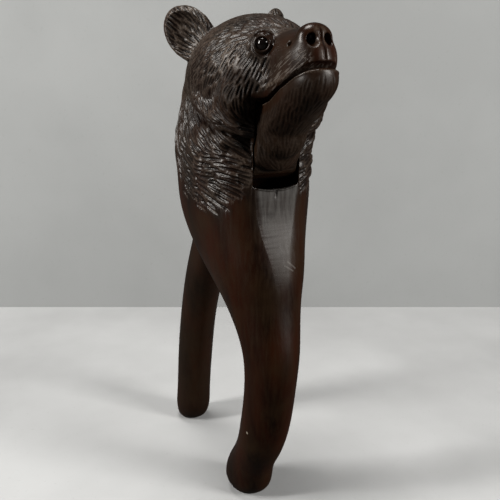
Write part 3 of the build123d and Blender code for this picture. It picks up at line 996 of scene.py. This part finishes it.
def head_wax(n, look):
    """The head's carving, with a painted grey sheen on the planed front under the slot, and the marks on the
    handle.
    """
    carved_wax(n, look)
    # Painted sheen: grey paint on the planed front where the window's reflection lies, its highlight damped
    # by roughness
    sheen_area = sheen_patch(n)
    sheen_grey = n.mix(n.range(look.grain, 0.35, 0.65), SHEEN_GREY_DARK, SHEEN_GREY_PALE)
    sheen_share = n.maths("MULTIPLY", sheen_area, n.range(look.patches, 0.3, 0.6, 0.75, 0.95))
    look.base = n.mix(sheen_share, look.base, sheen_grey)
    look.rough = n.maths("ADD", look.rough, n.maths("MULTIPLY", sheen_area, 0.14))
    place = place_parts(n)
    below = n.maths("MULTIPLY", n.range(place["Z"], 0.126, 0.110), n.range(place["Y"], -0.010, -0.020))
    look.shine = n.maths("MULTIPLY", look.shine, n.range(below, 0, 1, 1, 0.45))
    look.rough = n.maths("ADD", look.rough, n.maths("MULTIPLY", below, 0.06))
    spot, fleck = (-1.8, -26.1, 129.9), (-9.3, -20.0, 39.1)
    look.base = n.mix(n.maths("MULTIPLY", n.mark(spot, spot, 2.2), 0.6), look.base, DARK_WAX)
    scratches = (
        ((2.0, -29.6, 111.2), (5.4, -29.5, 108.8)),
        ((3.5, -29.1, 112.4), (6.6, -29.0, 109.6)),
    )
    for start, end in scratches:
        look.base = n.mix(n.maths("MULTIPLY", n.mark(start, end, 0.4), 0.5), look.base, SCRATCHED)
    look.base = n.mix(n.mark(fleck, fleck, 0.7), look.base, FLECK)


def waxed_wood(name, finish=None):
    """Dark waxed wood with its grain upwards, and over it the finish of one piece."""
    n = Nodes(name)
    look = plain_wax(n)
    if finish:
        finish(n, look)
    bump = n.add("ShaderNodeBump")
    bump.inputs["Strength"].default_value = 0.35
    bump.inputs["Distance"].default_value = 0.0003
    n.link(look.height, bump.inputs["Height"])
    n.link(look.base, n.shader.inputs["Base Color"])
    n.link(look.rough, n.shader.inputs["Roughness"])
    n.link(bump.outputs["Normal"], n.shader.inputs["Normal"])
    n.put(look.shine, n.shader.inputs["Specular IOR Level"])
    return n.material


def black_glass():
    n = Nodes("black_glass")
    tone = n.noise(n.stretched((1, 1, 1)), 300, 2)
    colour = n.mix(n.range(tone, 0.3, 0.7), (0.003, 0.002, 0.002, 1), (0.008, 0.005, 0.004, 1))
    n.link(colour, n.shader.inputs["Base Color"])
    n.shader.inputs["Roughness"].default_value = 0.04
    n.shader.inputs["IOR"].default_value = 1.52
    return n.material


def plain_metal(name, colour, roughness):
    n = Nodes(name)
    scratch = n.noise(n.stretched((1, 1, 0.1)), 2000, 3)
    n.link(n.range(scratch, 0.3, 0.7, roughness, roughness + 0.15), n.shader.inputs["Roughness"])
    n.shader.inputs["Base Color"].default_value = colour
    n.shader.inputs["Metallic"].default_value = 1.0
    return n.material


def finish_with(obj, material):
    obj.data.materials.clear()
    obj.data.materials.append(material)


wood_head = waxed_wood("waxed_wood_head", head_wax)
for part in carve_head():
    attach(part, "head")
    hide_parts("head_and_front_handle")
    finish_with(part, wood_head)

jaw = carve_jaw()
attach(jaw, "jaw")
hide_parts("jaw_and_rear_handle")
finish_with(jaw, waxed_wood("waxed_wood_jaw", jaw_wax))

glass = black_glass()
steel = plain_metal("pin_steel", (0.30, 0.29, 0.28, 1), 0.35)
wire = plain_metal("eye_wire", (0.12, 0.10, 0.08, 1), 0.45)
plug_wood = waxed_wood("waxed_wood_plug")
for node, material, slot_name in (
    ("eye_right", glass, "eye_glass"), ("eye_left", glass, "eye_glass"),
    ("eye_wire_right", wire, "eye_wire"), ("eye_wire_left", wire, "eye_wire"),
    ("pivot_pin", steel, "pin_steel"),
):
    finish_with(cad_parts[node], material)

# The plugs' outer ends are carved down with the neck, so the fur runs over them
for side, node in ((-1, "pin_plug_right"), (1, "pin_plug_left")):
    plug = clay_copy(node, "carved_" + node)
    points = points_of(plug)
    points[:, 0] = side * np.minimum(np.abs(points[:, 0]), PLUG_END)
    put_points(plug, points)
    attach(plug, "head")
    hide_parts(node)
    finish_with(plug, plug_wood)

# Camera: it looks at the bear's right side from the front, a little from above
CAMERA_PLACE = Vector((-112.891, -245.071, 184.876)) * MM
LOOK = Vector((0.40730, 0.87345, -0.26683))
LENS = 49.18
camera_data = bpy.data.cameras.new("camera")
camera_data.lens = LENS
camera_data.sensor_width = 36
camera_data.clip_start, camera_data.clip_end = 0.01, 20
camera = bpy.data.objects.new("camera", camera_data)
bpy.context.scene.collection.objects.link(camera)
camera.location = CAMERA_PLACE
camera.rotation_euler = LOOK.to_track_quat("-Z", "Y").to_euler()
bpy.context.scene.camera = camera

# Table and backdrop
away = Vector((LOOK.x, LOOK.y, 0)).normalized()
across = Vector((away.y, -away.x, 0))
TABLE_REACH = 0.501


def paper(name, colour, clouds):
    """Pale cloudy paper, dark in the wax's reflections."""
    n = Nodes(name)
    where = n.stretched((1, 1, 1))
    tone = n.noise(where, 9, 4)
    grit = n.noise(where, 500, 3)
    shaded = tuple(c * clouds for c in colour[:3]) + (1,)
    seen = n.add("ShaderNodeLightPath").outputs["Is Camera Ray"]
    lit = n.mix(n.range(tone, 0.35, 0.65), shaded, colour)
    lit = n.mix(n.range(grit, 0.62, 0.75, 0, 0.12), lit, (0.2, 0.2, 0.19, 1))
    n.link(n.mix(seen, (0.03, 0.03, 0.03, 1), lit), n.shader.inputs["Base Color"])
    n.shader.inputs["Roughness"].default_value = 0.9
    return n.material


def board(name, corners, material):
    """A flat face of the stage."""
    mesh = bpy.data.meshes.new(name)
    mesh.from_pydata([tuple(c) for c in corners], [], [(0, 1, 2, 3)])
    mesh.materials.append(material)
    obj = bpy.data.objects.new(name, mesh)
    bpy.context.scene.collection.objects.link(obj)
    return obj


TABLE_HALF, BACKDROP_HALF = across * 1.5, across * 3
BACKDROP_TOP = Vector((0, 0, 2))
ground = Vector((CAMERA_PLACE.x, CAMERA_PLACE.y, 0))
near_side = ground - away
edge = ground + away * TABLE_REACH
board(
    "table", [near_side - TABLE_HALF, near_side + TABLE_HALF, edge + TABLE_HALF, edge - TABLE_HALF],
    paper("table_paper", (0.55, 0.57, 0.585, 1), 0.84),
)
left, right = edge - BACKDROP_HALF, edge + BACKDROP_HALF
board(
    "backdrop", [left, right, right + BACKDROP_TOP, left + BACKDROP_TOP],
    paper("backdrop_paper", (0.405, 0.425, 0.433, 1), 0.9),
)


LAMP_COLOUR = (1.0, 0.96, 0.91)
LAMPS_LOOK_AT = Vector((0, 0.01, 0.11))


def lamp(name, way, reach, size, power):
    """A soft lamp on the stage, which faces the middle of the carving."""
    data = bpy.data.lights.new(name, "AREA")
    data.shape = "RECTANGLE"
    data.size, data.size_y = size
    data.energy = power
    data.color = LAMP_COLOUR
    obj = bpy.data.objects.new(name, data)
    bpy.context.scene.collection.objects.link(obj)
    obj.location = LAMPS_LOOK_AT + Vector(way).normalized() * reach
    obj.rotation_euler = (LAMPS_LOOK_AT - obj.location).to_track_quat("-Z", "Y").to_euler()


lamp("window", (0.51, -0.80, 0.36), 0.9, (0.28, 0.45), 6.0)
lamp("side", (-0.92, 0.08, 0.45), 0.9, (0.16, 0.45), 6.3)
lamp("above", (-0.1, 0.1, 1.0), 1.0, (0.35, 0.35), 6.0)
lamp("glint_right", (0.64, -0.76, 0.14), 0.6, (0.05, 0.06), 0.7)
lamp("glint_left", (-0.955, 0.058, 0.28), 0.6, (0.06, 0.06), 0.9)
world = bpy.data.worlds.new("room")
world.use_nodes = True
world.node_tree.nodes["Background"].inputs["Color"].default_value = (0.8, 0.82, 0.85, 1)
world.node_tree.nodes["Background"].inputs["Strength"].default_value = 0.03
bpy.context.scene.world = world
bpy.context.scene.view_settings.view_transform = "Standard"
